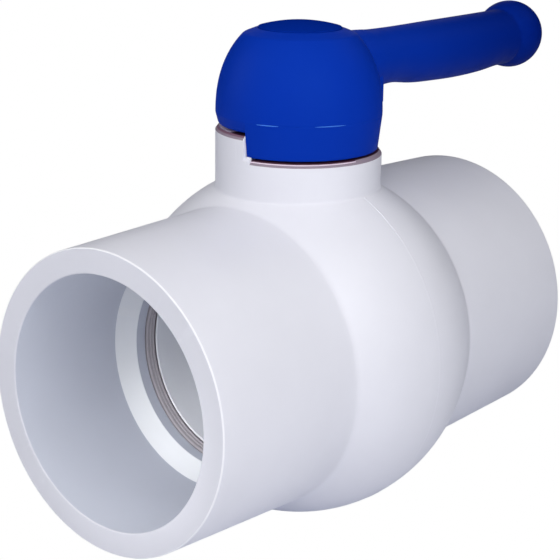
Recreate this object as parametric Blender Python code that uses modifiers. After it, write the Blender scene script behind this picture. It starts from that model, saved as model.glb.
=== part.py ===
"""A 2 inch PVC ball valve with plain solvent-weld sockets, in metres.

The pipe runs along X and the stem points up Z, so the origin is the middle of the ball.
The valve is modelled open, with its lever lying over the +X socket.
"""

import math

import bmesh
import bpy

# Sockets
HALF_LENGTH = 0.0678  # from the ball's middle to a socket's end face
SOCKET_MOUTH_RADIUS = 0.03015  # bore for a 60.3 mm pipe
SOCKET_FLOOR_RADIUS = 0.0300  # the bore narrows slightly, so that the pipe wedges
SOCKET_FLOOR_X = 0.0348
SOCKET_END_RADIUS = 0.03615
END_EDGE = 0.0006  # bevel on both edges of the end face
SHOULDER_X = 0.0310  # where the conical pipe stop meets the port
PORT_RADIUS = 0.0263

# Ball chamber
BULGE_RADIUS = 0.0446
BULGE_HALF_WIDTH = 0.0424  # semi-axis of the bulge along the pipe
CREASE_X = 0.0230  # where the bulge meets a socket
CHAMBER_RADIUS = 0.0365
POCKET_RADIUS = 0.0313  # seat pocket
POCKET_X = 0.0279
TONGUE_LENGTH = 0.0040  # weld joint between the two body halves
TONGUE_RADIUS = 0.0405

# Ball and seats
BALL_RADIUS = 0.0357
BALL_PORT_RADIUS = 0.0248
BALL_LIP = 0.0005
SLOT_HALF_WIDTH = 0.0040
SLOT_FLOOR_Z = 0.0297
SEAT_BORE_RADIUS = 0.0258
SEAT_GROOVE_DEPTH = 0.0003
SEAT_NOTCH = 0.0026  # square notch for the rubber ring behind the seat
SEAT_RING_WIRE = 0.0010

# Neck and stops
NECK_RADIUS = 0.02053
NECK_CHAMFER = 0.00075
LEDGE_Z = 0.0489  # the stop tab sweeps over this face
STOP_TOP_Z = 0.0545
MOAT_INNER_RADIUS = 0.0125
MOAT_OUTER_RADIUS = 0.0168
MOAT_FLOOR_Z = 0.0440
FLANGE_BORE_RADIUS = 0.0123
FLANGE_BORE_TOP_Z = 0.0410
STEM_BORE_RADIUS = 0.0093

# Stem
STEM_RADIUS = 0.0090
STEM_FLANGE_RADIUS = 0.0119
STEM_FLANGE_Z = 0.0370
STEM_FLANGE_THICKNESS = 0.0024
STEM_SHOULDER_Z = 0.0540
STEM_TOP_Z = 0.0657
DRIVE_HALF_WIDTH = 0.0057  # square end that carries the handle
TANG_HALF_WIDTH = 0.0037
TANG_HALF_LENGTH = 0.0100
STEM_GROOVE_RADIUS = 0.0063
STEM_GROOVE_WIDTH = 0.0030
STEM_GROOVES_Z = {"stem_oring_lower": 0.0443, "stem_oring_upper": 0.0491}
STEM_RING_WIRE = 0.0012
SCREW_HOLE_RADIUS = 0.0027
SCREW_HOLE_FLOOR_Z = 0.0500

# Handle
HUB_RADIUS = 0.0205
HUB_BASE_RADIUS = 0.0198
HUB_BASE_Z = 0.0551
DOME_BASE_Z = 0.0578
DOME_HEIGHT = 0.0252  # height the dome's curve would reach on its axis
DOME_POWER = 2.25  # fuller than an ellipse, which is 2
DOME_TOP_RADIUS = 0.0138  # where the dome meets the flatter crown
CROWN_TOP_Z = 0.0801
CROWN_CURVE = 0.0316  # radius of the crown's curve
TAB_BOTTOM_Z = 0.04935
TAB_BOTTOM_RADIUS = 0.0195
TAB_TOP_RADIUS = 0.0204
TAB_INNER_RADIUS = 0.0168
HUB_CAVITY_RADIUS = 0.0166
HUB_CAVITY_TOP_RADIUS = 0.0135
HUB_CAVITY_TOP_Z = 0.0690
BOSS_RADIUS = 0.0103
BOSS_TIP_RADIUS = 0.0098
BOSS_BOTTOM_Z = 0.0548
RIB_HALF_WIDTH = 0.0010
SOCKET_HALF_WIDTH = 0.0060  # square socket for the stem
WEB_BOTTOM_Z = 0.0660
WEB_TOP_Z = 0.0700
HEAD_RECESS_RADIUS = 0.0078
CAP_RECESS_RADIUS = 0.0103
CAP_RECESS_Z = 0.0766

# Lever
LEVER_AXIS_Z = 0.0675
LEVER_ROOT_X = 0.0140
LEVER_ROOT_RADIUS = 0.0072
LEVER_MIDDLE_X = 0.0640
LEVER_MIDDLE_RADIUS = 0.0081
LEVER_NECK_X = 0.0850
LEVER_NECK_RADIUS = 0.0074
KNOB_X = 0.09375
KNOB_RADIUS = 0.00935
KNOB_ARC = 124.0  # degrees of the knob's outline, from its tip to the lever
GUSSET_X = 0.0266  # front face of the block under the lever's root
GUSSET_HALF_WIDTH = 0.0065
GUSSET_BOTTOM_Z = 0.0576

# Small parts
SCREW_HEAD_RADIUS = 0.0050
SCREW_HEAD_HEIGHT = 0.0030
SCREW_HEAD_TOP_RADIUS = 0.0030
SCREW_HEAD_RIM = 0.0010
SCREW_SHANK_RADIUS = 0.0024
SCREW_TIP_LENGTH = 0.0020
DRIVER_SLOT_REACH = 0.0025
DRIVER_SLOT_DEPTH = 0.0015
DRIVER_SLOT_HALF_WIDTH = 0.0006
WASHER_RADIUS = 0.0066
WASHER_THICKNESS = 0.0012

GAP = 0.0003  # clearance between pieces that touch
PAST = 0.0020  # how far a cutter runs past the face that it opens
MERGE = 0.00001  # points closer than this are one point
SHARP_ANGLE = 30  # degrees between faces that stay sharp

# Facets: round a full turn, then along an outline's curves
BODY_STEPS = 48
NECK_STEPS = 40
RING_STEPS = 32
SMALL_STEPS = 24
BULGE_FACETS = 6
CHAMBER_FACETS = 6
BALL_FACETS = 12
SEAT_FACETS = 3
WIRE_FACETS = 6
DOME_FACETS = 6
CROWN_FACETS = 4
KNOB_FACETS = 8

PARTS = "ball_valve"
CUTTERS = "cutters"


def clear_scene():
    for obj in list(bpy.data.objects):
        bpy.data.objects.remove(obj, do_unlink=True)


def make_collection(name):
    collection = bpy.data.collections.new(name)
    bpy.context.scene.collection.children.link(collection)
    return collection


def make_material(name, colour, roughness, metallic=0.0):
    material = bpy.data.materials.new(name)
    material.use_nodes = True
    shader = material.node_tree.nodes["Principled BSDF"]
    shader.inputs["Base Color"].default_value = (*colour, 1.0)
    shader.inputs["Roughness"].default_value = roughness
    shader.inputs["Metallic"].default_value = metallic
    return material


def add_object(name, mesh, collection):
    obj = bpy.data.objects.new(name, mesh)
    collection.objects.link(obj)
    if collection.name == CUTTERS:
        obj.hide_render = True
        obj.display_type = "WIRE"
    return obj


def finish(obj, material, parent=None):
    obj.data.materials.append(material)
    obj.parent = parent
    return obj


def turned(name, profile, collection, steps, about_x=False, closed=False):
    """A turned shape. The profile is (radius, height) pairs that run down the outer side."""
    mesh = bpy.data.meshes.new(name)
    points = [(radius, 0.0, height) for radius, height in profile]
    edges = [(i, i + 1) for i in range(len(points) - 1)]
    if closed:
        edges.append((len(points) - 1, 0))
    mesh.from_pydata(points, edges, [])
    obj = add_object(name, mesh, collection)
    screw = obj.modifiers.new("turn", "SCREW")
    screw.steps = steps
    screw.render_steps = steps
    screw.use_merge_vertices = True
    screw.merge_threshold = MERGE
    screw.use_smooth_shade = True
    if about_x:
        obj.rotation_euler = (0.0, math.pi / 2, 0.0)
    return obj


def box(name, low, high, collection):
    mesh = bpy.data.meshes.new(name)
    shape = bmesh.new()
    bmesh.ops.create_cube(shape, size=1.0)
    for vertex in shape.verts:
        vertex.co = [
            (a + b) / 2 + (b - a) * share for a, b, share in zip(low, high, vertex.co)
        ]
    shape.to_mesh(mesh)
    shape.free()
    return add_object(name, mesh, collection)


def combine(obj, other, operation):
    boolean = obj.modifiers.new(f"{operation.lower()} {other.name}", "BOOLEAN")
    boolean.operation = operation
    boolean.object = other


def spaced(start, stop, facets):
    """Even steps from start to stop, both included."""
    return [start + (stop - start) * i / facets for i in range(facets + 1)]


def arc(centre, radius, start, end, count):
    """Points of an arc, with angles in degrees from the radial direction towards +height."""
    angles = [math.radians(angle) for angle in spaced(start, end, count)]
    return [
        (centre[0] + radius * math.cos(a), centre[1] + radius * math.sin(a)) for a in angles
    ]


def bulge_radius(x):
    return BULGE_RADIUS * math.sqrt(1 - (x / BULGE_HALF_WIDTH) ** 2)


def mirrored(profile):
    """The same profile on the other side of the ball, still running down its outer side."""
    return [(radius, -height) for radius, height in reversed(profile)]


def half_outline(joint):
    """Outer side of the +X half, from the axis at the end face down to the joint plane."""
    bulge = spaced(CREASE_X, joint, BULGE_FACETS)
    return [
        (0.0, HALF_LENGTH),
        (SOCKET_END_RADIUS - END_EDGE, HALF_LENGTH),
        (SOCKET_END_RADIUS, HALF_LENGTH - END_EDGE),
        *[(bulge_radius(x), x) for x in bulge],
        (0.0, joint),
    ]


def bore_outline(end_x):
    """Everything inside the +X half, from past the end face down to end_x on the chamber."""
    pocket_start = math.degrees(math.acos(POCKET_RADIUS / CHAMBER_RADIUS))
    pocket_stop = math.degrees(math.asin(end_x / CHAMBER_RADIUS))
    return [
        (0.0, HALF_LENGTH + PAST),
        (SOCKET_MOUTH_RADIUS + END_EDGE + PAST, HALF_LENGTH + PAST),
        (SOCKET_MOUTH_RADIUS, HALF_LENGTH - END_EDGE),
        (SOCKET_FLOOR_RADIUS, SOCKET_FLOOR_X),
        (PORT_RADIUS + GAP, SHOULDER_X),
        (PORT_RADIUS, SHOULDER_X - GAP),
        (PORT_RADIUS, POCKET_X),
        (POCKET_RADIUS, POCKET_X),
        *arc((0.0, 0.0), CHAMBER_RADIUS, pocket_start, pocket_stop, CHAMBER_FACETS),
    ]


def make_body(parts, cutters, plastic):
    """Near half: its socket, the seat pocket, the chamber, the weld tongue and the neck."""
    half = half_outline(0.0)[:-1]
    tongue = [(TONGUE_RADIUS, 0.0), (TONGUE_RADIUS, -TONGUE_LENGTH), (0.0, -TONGUE_LENGTH)]
    body = turned("body_main", mirrored(half + tongue), parts, BODY_STEPS, about_x=True)

    root_z = CHAMBER_RADIUS / 2
    neck_outline = [
        (0.0, STOP_TOP_Z),
        (NECK_RADIUS - NECK_CHAMFER, STOP_TOP_Z),
        (NECK_RADIUS, STOP_TOP_Z - NECK_CHAMFER),
        (NECK_RADIUS, root_z),
        (0.0, root_z),
    ]
    neck = turned("neck", neck_outline, cutters, NECK_STEPS)
    above = STOP_TOP_Z + PAST
    ledge_outline = [
        (NECK_RADIUS + PAST, above),
        (NECK_RADIUS + PAST, LEDGE_Z - NECK_CHAMFER - PAST),
        (NECK_RADIUS - NECK_CHAMFER, LEDGE_Z),
        (MOAT_OUTER_RADIUS, LEDGE_Z),
        (MOAT_OUTER_RADIUS, MOAT_FLOOR_Z),
        (MOAT_INNER_RADIUS, MOAT_FLOOR_Z),
        (MOAT_INNER_RADIUS, above),
    ]
    ledge = turned("ledge_and_moat", ledge_outline, cutters, NECK_STEPS, closed=True)
    ledge.rotation_euler.z = math.pi / NECK_STEPS
    stops = box("stop_sector", (-BULGE_RADIUS, 0.0, 0.0), (0.0, BULGE_RADIUS, CROWN_TOP_Z), cutters)
    combine(ledge, stops, "DIFFERENCE")
    combine(neck, ledge, "DIFFERENCE")
    combine(body, neck, "UNION")

    past_neck = NECK_RADIUS + PAST
    chamber_end = math.sqrt(CHAMBER_RADIUS**2 - POCKET_RADIUS**2)
    inside = [
        (0.0, past_neck),
        (POCKET_RADIUS, past_neck),
        *mirrored(bore_outline(-chamber_end)),
    ]
    bore = turned("near_bore", inside, cutters, BODY_STEPS, about_x=True)
    combine(body, bore, "DIFFERENCE")
    stem_bore = turned(
        "stem_bore",
        [
            (0.0, STOP_TOP_Z + PAST),
            (STEM_BORE_RADIUS, STOP_TOP_Z + PAST),
            (STEM_BORE_RADIUS, FLANGE_BORE_TOP_Z),
            (FLANGE_BORE_RADIUS, FLANGE_BORE_TOP_Z),
            (FLANGE_BORE_RADIUS, root_z),
            (0.0, root_z),
        ],
        cutters,
        NECK_STEPS,
    )
    combine(body, stem_bore, "DIFFERENCE")
    finish(body, plastic)


def make_end_connector(parts, cutters, plastic):
    """Far half, with the weld rebate and a clearance round the neck."""
    end = turned("end_connector", half_outline(GAP), parts, BODY_STEPS, about_x=True)
    rebate_x = TONGUE_LENGTH + GAP
    rebate = [
        (TONGUE_RADIUS + GAP, rebate_x),
        (TONGUE_RADIUS + GAP, -PAST),
        (0.0, -PAST),
    ]
    inside = bore_outline(rebate_x) + rebate
    bore = turned("far_bore", inside, cutters, BODY_STEPS, about_x=True)
    combine(end, bore, "DIFFERENCE")
    clearance = turned(
        "neck_clearance",
        [
            (0.0, STOP_TOP_Z),
            (NECK_RADIUS + GAP, STOP_TOP_Z),
            (NECK_RADIUS + GAP, CHAMBER_RADIUS / 2),
            (0.0, CHAMBER_RADIUS / 2),
        ],
        cutters,
        NECK_STEPS,
    )
    combine(end, clearance, "DIFFERENCE")
    finish(end, plastic)


def make_ball(parts, cutters, plastic):
    lip_radius = BALL_PORT_RADIUS + BALL_LIP
    edge = math.degrees(math.acos(lip_radius / BALL_RADIUS))
    port_x = BALL_RADIUS * math.sin(math.radians(edge)) - BALL_LIP
    outer = arc((0.0, 0.0), BALL_RADIUS, edge, -edge, BALL_FACETS)
    profile = [*outer, (BALL_PORT_RADIUS, -port_x), (BALL_PORT_RADIUS, port_x)]
    ball = turned("ball", profile, parts, NECK_STEPS, about_x=True, closed=True)
    slot = box(
        "ball_slot",
        (-SLOT_HALF_WIDTH, -BALL_RADIUS, SLOT_FLOOR_Z),
        (SLOT_HALF_WIDTH, BALL_RADIUS, BALL_RADIUS + PAST),
        cutters,
    )
    combine(ball, slot, "DIFFERENCE")
    finish(ball, plastic)


def seat_outline():
    """The +X seat: a spherical face on the ball, two fine grooves in its bore, a notch behind."""
    face_radius = BALL_RADIUS + GAP
    back = POCKET_X - GAP
    rim = POCKET_RADIUS - GAP
    start = math.degrees(math.acos(rim / face_radius))
    stop = math.degrees(math.acos(SEAT_BORE_RADIUS / face_radius))
    face = arc((0.0, 0.0), face_radius, start, stop, SEAT_FACETS)
    front = face[-1][1]
    third = (back - front) / 3
    grooves = []
    for i in (1, 2):
        middle = front + third * i
        grooves.append((SEAT_BORE_RADIUS, middle - SEAT_GROOVE_DEPTH))
        grooves.append((SEAT_BORE_RADIUS + SEAT_GROOVE_DEPTH, middle))
        grooves.append((SEAT_BORE_RADIUS, middle + SEAT_GROOVE_DEPTH))
    return [
        (rim - SEAT_NOTCH, back),
        (rim - SEAT_NOTCH, back - SEAT_NOTCH),
        (rim, back - SEAT_NOTCH),
        *face,
        *grooves,
        (SEAT_BORE_RADIUS, back),
    ]


def wire_outline(radius, height, wire):
    """Section of a rubber ring, down its outer side and back up its inner side."""
    return arc((radius, height), wire, 0, -360, WIRE_FACETS)[:-1]


def make_seats(parts, plastic, rubber):
    wire_x = POCKET_X - SEAT_NOTCH / 2
    wire_radius = POCKET_RADIUS - SEAT_NOTCH / 2
    for side, sign in (("near", -1), ("far", 1)):
        outline = seat_outline() if sign > 0 else mirrored(seat_outline())
        seat = turned(f"seat_{side}", outline, parts, NECK_STEPS, about_x=True, closed=True)
        finish(seat, plastic)
        wire = wire_outline(wire_radius, sign * wire_x, SEAT_RING_WIRE)
        ring = turned(f"seat_oring_{side}", wire, parts, RING_STEPS, about_x=True, closed=True)
        finish(ring, rubber)


def make_stem(parts, cutters, plastic, rubber, turning):
    grooves = []
    for middle in sorted(STEM_GROOVES_Z.values(), reverse=True):
        top = middle + STEM_GROOVE_WIDTH / 2
        bottom = middle - STEM_GROOVE_WIDTH / 2
        grooves += [
            (STEM_RADIUS, top),
            (STEM_GROOVE_RADIUS, top),
            (STEM_GROOVE_RADIUS, bottom),
            (STEM_RADIUS, bottom),
        ]
    flange_top = STEM_FLANGE_Z + STEM_FLANGE_THICKNESS
    stem = turned(
        "stem",
        [
            (0.0, STEM_SHOULDER_Z),
            (STEM_RADIUS, STEM_SHOULDER_Z),
            *grooves,
            (STEM_RADIUS, flange_top),
            (STEM_FLANGE_RADIUS, flange_top),
            (STEM_FLANGE_RADIUS, STEM_FLANGE_Z),
            (0.0, STEM_FLANGE_Z),
        ],
        parts,
        SMALL_STEPS,
    )
    tang = box(
        "tang",
        (-TANG_HALF_WIDTH, -TANG_HALF_LENGTH, SLOT_FLOOR_Z + GAP),
        (TANG_HALF_WIDTH, TANG_HALF_LENGTH, (STEM_FLANGE_Z + flange_top) / 2),
        cutters,
    )
    drive = box(
        "drive",
        (-DRIVE_HALF_WIDTH, -DRIVE_HALF_WIDTH, STEM_SHOULDER_Z - PAST),
        (DRIVE_HALF_WIDTH, DRIVE_HALF_WIDTH, STEM_TOP_Z),
        cutters,
    )
    hole = turned(
        "stem_screw_hole",
        [
            (0.0, STEM_TOP_Z + PAST),
            (SCREW_HOLE_RADIUS, STEM_TOP_Z + PAST),
            (SCREW_HOLE_RADIUS, SCREW_HOLE_FLOOR_Z),
            (0.0, SCREW_HOLE_FLOOR_Z),
        ],
        cutters,
        SMALL_STEPS,
    )
    combine(stem, tang, "UNION")
    combine(stem, drive, "UNION")
    combine(stem, hole, "DIFFERENCE")
    finish(stem, plastic, turning)
    for name, height in STEM_GROOVES_Z.items():
        wire = wire_outline(STEM_GROOVE_RADIUS + STEM_GROOVE_WIDTH / 2, height, STEM_RING_WIRE)
        ring = turned(name, wire, parts, SMALL_STEPS, closed=True)
        finish(ring, rubber, turning)


def flat_ring(name, inner, outer, bottom, top, parts):
    profile = [(inner, top), (outer, top), (outer, bottom), (inner, bottom)]
    return turned(name, profile, parts, SMALL_STEPS, closed=True)


def crown_z(radius):
    """Height of the hub's crown, which the cap continues."""
    return CROWN_TOP_Z - radius**2 / (2 * CROWN_CURVE)


def dome_z(radius):
    return DOME_BASE_Z + DOME_HEIGHT * (1 - (radius / HUB_RADIUS) ** 2) ** (1 / DOME_POWER)


def dome_outline():
    """Outer side of the hub, from the cap's recess down to the skirt's lower edge."""
    swells = [math.sin(math.pi / 2 * share) for share in spaced(0, 1, DOME_FACETS)]
    radii = [DOME_TOP_RADIUS + (HUB_RADIUS - DOME_TOP_RADIUS) * swell for swell in swells]
    return [
        (CAP_RECESS_RADIUS, crown_z(CAP_RECESS_RADIUS)),
        *[(radius, dome_z(radius)) for radius in radii],
        (HUB_BASE_RADIUS, HUB_BASE_Z),
    ]


def lever_outline():
    """Lever turned about its own axis, from the knob's tip back into the hub."""
    angles = [math.radians(angle) for angle in spaced(0, KNOB_ARC, KNOB_FACETS)[1:]]
    knob = [(KNOB_RADIUS * math.sin(a), KNOB_X + KNOB_RADIUS * math.cos(a)) for a in angles]
    return [
        (0.0, KNOB_X + KNOB_RADIUS),
        *knob,
        (LEVER_NECK_RADIUS, LEVER_NECK_X),
        (LEVER_MIDDLE_RADIUS, LEVER_MIDDLE_X),
        (LEVER_ROOT_RADIUS, LEVER_ROOT_X),
        (0.0, LEVER_ROOT_X),
    ]


def make_handle(parts, cutters, plastic, turning):
    rim_z = crown_z(CAP_RECESS_RADIUS)
    outline = [
        (0.0, rim_z),
        *dome_outline(),
        (BOSS_TIP_RADIUS, HUB_BASE_Z),
        (BOSS_TIP_RADIUS, BOSS_BOTTOM_Z),
        (0.0, BOSS_BOTTOM_Z),
    ]
    handle = turned("handle", outline, parts, NECK_STEPS)

    lever = turned("lever", lever_outline(), cutters, SMALL_STEPS, about_x=True)
    lever.location.z = LEVER_AXIS_Z
    combine(handle, lever, "UNION")
    gusset = box(
        "gusset",
        (LEVER_ROOT_X, -GUSSET_HALF_WIDTH, GUSSET_BOTTOM_Z),
        (GUSSET_X, GUSSET_HALF_WIDTH, LEVER_AXIS_Z),
        cutters,
    )
    combine(handle, gusset, "UNION")

    tab_outline = [
        (TAB_TOP_RADIUS, DOME_BASE_Z + PAST),
        (TAB_TOP_RADIUS, DOME_BASE_Z),
        (TAB_BOTTOM_RADIUS, TAB_BOTTOM_Z),
        (TAB_INNER_RADIUS, TAB_BOTTOM_Z),
        (TAB_INNER_RADIUS, DOME_BASE_Z + PAST),
    ]
    tab = turned("stop_tab", tab_outline, cutters, NECK_STEPS, closed=True)
    half = box(
        "stop_tab_half",
        (-BULGE_RADIUS, -BULGE_RADIUS, 0.0),
        (BULGE_RADIUS, -GAP, CROWN_TOP_Z),
        cutters,
    )
    combine(tab, half, "INTERSECT")
    combine(handle, tab, "UNION")

    cavity_outline = [
        (HUB_CAVITY_TOP_RADIUS, HUB_CAVITY_TOP_Z),
        (HUB_CAVITY_RADIUS, DOME_BASE_Z),
        (HUB_CAVITY_RADIUS, HUB_BASE_Z - PAST),
        (BOSS_RADIUS, HUB_BASE_Z - PAST),
        (BOSS_RADIUS, HUB_CAVITY_TOP_Z),
    ]
    cavity = turned("hub_cavity", cavity_outline, cutters, NECK_STEPS, closed=True)
    for name, reach_x, reach_y in (
        ("rib_x", HUB_RADIUS, RIB_HALF_WIDTH),
        ("rib_y", RIB_HALF_WIDTH, HUB_RADIUS),
    ):
        rib = box(
            name,
            (-reach_x, -reach_y, DOME_BASE_Z),
            (reach_x, reach_y, CROWN_TOP_Z),
            cutters,
        )
        combine(cavity, rib, "DIFFERENCE")
    combine(handle, cavity, "DIFFERENCE")

    socket = box(
        "stem_socket",
        (-SOCKET_HALF_WIDTH, -SOCKET_HALF_WIDTH, BOSS_BOTTOM_Z - PAST),
        (SOCKET_HALF_WIDTH, SOCKET_HALF_WIDTH, WEB_BOTTOM_Z),
        cutters,
    )
    combine(handle, socket, "DIFFERENCE")
    top_bore = turned(
        "top_bore",
        [
            (0.0, rim_z + PAST),
            (CAP_RECESS_RADIUS, rim_z + PAST),
            (CAP_RECESS_RADIUS, CAP_RECESS_Z),
            (HEAD_RECESS_RADIUS, CAP_RECESS_Z),
            (HEAD_RECESS_RADIUS, WEB_TOP_Z),
            (SCREW_HOLE_RADIUS + GAP, WEB_TOP_Z),
            (SCREW_HOLE_RADIUS + GAP, WEB_BOTTOM_Z - PAST),
            (0.0, WEB_BOTTOM_Z - PAST),
        ],
        cutters,
        SMALL_STEPS,
    )
    combine(handle, top_bore, "DIFFERENCE")
    finish(handle, plastic, turning)


def make_handle_fixings(parts, cutters, plastic, steel, turning):
    washer_bottom = WEB_TOP_Z + GAP
    washer_top = washer_bottom + WASHER_THICKNESS
    washer_hole = SCREW_SHANK_RADIUS + GAP
    washer = flat_ring(
        "handle_washer", washer_hole, WASHER_RADIUS, washer_bottom, washer_top, parts
    )
    finish(washer, steel, turning)

    head_bottom = washer_top + GAP
    head_top = head_bottom + SCREW_HEAD_HEIGHT
    tip = SCREW_HOLE_FLOOR_Z + PAST
    screw = turned(
        "handle_screw",
        [
            (0.0, head_top),
            (SCREW_HEAD_TOP_RADIUS, head_top),
            (SCREW_HEAD_RADIUS, head_bottom + SCREW_HEAD_RIM),
            (SCREW_HEAD_RADIUS, head_bottom),
            (SCREW_SHANK_RADIUS, head_bottom),
            (SCREW_SHANK_RADIUS, tip + SCREW_TIP_LENGTH),
            (0.0, tip),
        ],
        parts,
        SMALL_STEPS,
    )
    for name, reach_x, reach_y in (
        ("driver_slot_x", DRIVER_SLOT_REACH, DRIVER_SLOT_HALF_WIDTH),
        ("driver_slot_y", DRIVER_SLOT_HALF_WIDTH, DRIVER_SLOT_REACH),
    ):
        slot = box(
            name,
            (-reach_x, -reach_y, head_top - DRIVER_SLOT_DEPTH),
            (reach_x, reach_y, head_top + PAST),
            cutters,
        )
        combine(screw, slot, "DIFFERENCE")
    finish(screw, steel, turning)

    cap_bottom = CAP_RECESS_Z + GAP
    cap_radius = CAP_RECESS_RADIUS - GAP
    crown = [(radius, crown_z(radius)) for radius in spaced(0.0, cap_radius, CROWN_FACETS)]
    cap_outline = [*crown, (cap_radius, cap_bottom), (0.0, cap_bottom)]
    cap = turned("handle_cap", cap_outline, parts, SMALL_STEPS)
    finish(cap, plastic, turning)


def make_thrust_washer(parts, plastic, turning):
    bottom = STEM_FLANGE_Z + STEM_FLANGE_THICKNESS + GAP
    top = FLANGE_BORE_TOP_Z - GAP
    outer = FLANGE_BORE_RADIUS - GAP
    washer = flat_ring("thrust_washer", STEM_RADIUS + GAP, outer, bottom, top, parts)
    finish(washer, plastic, turning)


def smooth_round_faces(parts):
    for obj in parts.objects:
        if obj.type == "MESH":
            split = obj.modifiers.new("sharp edges", "EDGE_SPLIT")
            split.split_angle = math.radians(SHARP_ANGLE)


def build():
    clear_scene()
    parts = make_collection(PARTS)
    cutters = make_collection(CUTTERS)

    white = make_material("white_pvc", (0.80, 0.80, 0.86), 0.35)
    ball_white = make_material("ball_pvc", (0.62, 0.62, 0.68), 0.30)
    seat_grey = make_material("seat", (0.33, 0.31, 0.34), 0.45)
    rubber = make_material("rubber", (0.02, 0.02, 0.02), 0.70)
    blue = make_material("blue_abs", (0.003, 0.035, 0.36), 0.35)
    steel = make_material("stainless_steel", (0.60, 0.60, 0.58), 0.30, metallic=1.0)

    turning = add_object("handle_turn", None, parts)
    make_body(parts, cutters, white)
    make_end_connector(parts, cutters, white)
    make_ball(parts, cutters, ball_white)
    make_seats(parts, seat_grey, rubber)
    make_stem(parts, cutters, ball_white, rubber, turning)
    make_thrust_washer(parts, seat_grey, turning)
    make_handle(parts, cutters, blue, turning)
    make_handle_fixings(parts, cutters, blue, steel, turning)
    smooth_round_faces(parts)


build()
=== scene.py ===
"""Looks of the 2 inch PVC ball valve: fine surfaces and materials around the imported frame.

Lengths are in millimetres and become metres where a mesh is made. The pipe runs along X, the
stem points up Z, and the origin is the middle of the ball.
"""

import math

import bmesh
import bpy
from mathutils import Matrix, Vector


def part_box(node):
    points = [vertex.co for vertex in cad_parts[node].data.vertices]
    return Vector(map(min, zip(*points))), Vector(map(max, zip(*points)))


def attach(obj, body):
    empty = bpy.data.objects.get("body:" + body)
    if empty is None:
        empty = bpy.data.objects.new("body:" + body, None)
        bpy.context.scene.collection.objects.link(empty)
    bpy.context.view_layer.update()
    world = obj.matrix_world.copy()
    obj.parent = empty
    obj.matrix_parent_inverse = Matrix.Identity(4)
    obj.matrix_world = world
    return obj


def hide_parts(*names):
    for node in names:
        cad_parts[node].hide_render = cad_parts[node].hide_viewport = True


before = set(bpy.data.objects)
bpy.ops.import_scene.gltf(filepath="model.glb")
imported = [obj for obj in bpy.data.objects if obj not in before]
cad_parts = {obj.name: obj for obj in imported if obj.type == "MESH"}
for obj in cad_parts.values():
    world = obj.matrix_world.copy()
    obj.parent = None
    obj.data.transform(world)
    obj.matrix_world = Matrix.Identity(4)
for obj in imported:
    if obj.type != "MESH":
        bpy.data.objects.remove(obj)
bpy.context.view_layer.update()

MM = 0.001


def node_low(node):
    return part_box(node)[0] / MM


def node_high(node):
    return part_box(node)[1] / MM


def node_levels(node):
    """Heights of a node's underside and top."""
    return node_low(node).z, node_high(node).z


# ---- Driving sizes, from the frame ----

HALF_LENGTH = node_high("end_connector").x
BULGE_RADIUS = node_high("body_main").y
BALL_RADIUS = node_high("ball").y
HUB_RIM = node_high("handle").z
HUB_RADIUS = -node_low("handle").x
CROWN_TOP = node_high("handle_cap").z
LEVER_TIP = node_high("handle").x
TAB_BOTTOM = node_low("handle").z
NECK_TOP = node_high("body_main").z
STEM_TOP = node_high("stem").z
SEAT_RADIUS = node_high("seat_far").y
SEAT_BACK = node_high("seat_far").x

# ---- Body ----

SOCKET_END_RADIUS = 36.15
SOCKET_MOUTH_RADIUS = 30.15
SOCKET_FLOOR_RADIUS = 30.0
SOCKET_FLOOR_X = 34.8
SHOULDER_X = 31.0
PORT_RADIUS = 26.3
BULGE_HALF_WIDTH = 42.4
CREASE_X = 23.0
CREASE_BLEND = 0.4
CREASE_ROWS_START = 26.5  # between these, rows of points are closer together
CREASE_ROWS_STOP = 18.5
CHAMBER_RADIUS = 36.5
POCKET_RADIUS = 31.3
POCKET_X = 27.9
TONGUE_RADIUS = 40.5
TONGUE_LENGTH = 4.0
WELD_FLASH = 0.05  # height of the fine line along the weld
WELD_FLASH_WIDTH = 0.14
WELD_GAP = 0.05
WELD_BEAD = 0.13
WELD_BEAD_START = -25.0
WELD_BEAD_STOP = -46.0
END_EDGE = 0.35

# ---- Neck ----

NECK_RADIUS = 20.53
NECK_CHAMFER = 0.75
NECK_CHAMFER_DEPTH = 1.0
# Painted light and shade on the neck's top, tinted pink as a painted reflection, change at these
# distances in from its side
SHADOW_INSET = 1.5  # inner edge of the ring of painted shadow, where the tab doesn't cover it
RIM_INSET = 0.58  # inner and outer edge of the rim's painted highlight line
RIM_END_INSET = 0.41
STOP_PALE_INSET = 1.0  # outer edge of the stop's flat top, painted pale pink as a highlight
STOP_PINK_INSET = 0.42  # outer edge of the band of painted pink shade on the stop's chamfer
# Angles round the stem, from +X, in degrees
STOP_SHADOW_START = 162.0  # from here to the stop's end its flat top is painted dark as shadow
STOP_START = 90.0
STOP_END = 180.0
STOP_FOOT_START = 179.0
STOP_FOOT_END = 185.0
RIM_END_ANGLE = 263.0  # where the rim's painted highlight line stops
STOP_FOOT_RADIUS = 19.7  # just outside the tab's lower edge
NECK_FILLET = 0.9
NECK_FOOT = 2.5  # how far the neck's side goes on below its fillet, inside the wall
NECK_OVERLAP = 0.4  # how deep its underside is buried in the near half's wall
LEDGE = 48.9
STOP_FOOT_TOP = 49.6
MOAT_INNER_RADIUS = 12.5
MOAT_OUTER_RADIUS = 16.8
MOAT_FLOOR = 44.0
FLANGE_BORE_RADIUS = 12.3
FLANGE_BORE_TOP = 41.0
STEM_BORE_RADIUS = 9.3

# ---- Ball, seats and stem ----

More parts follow.
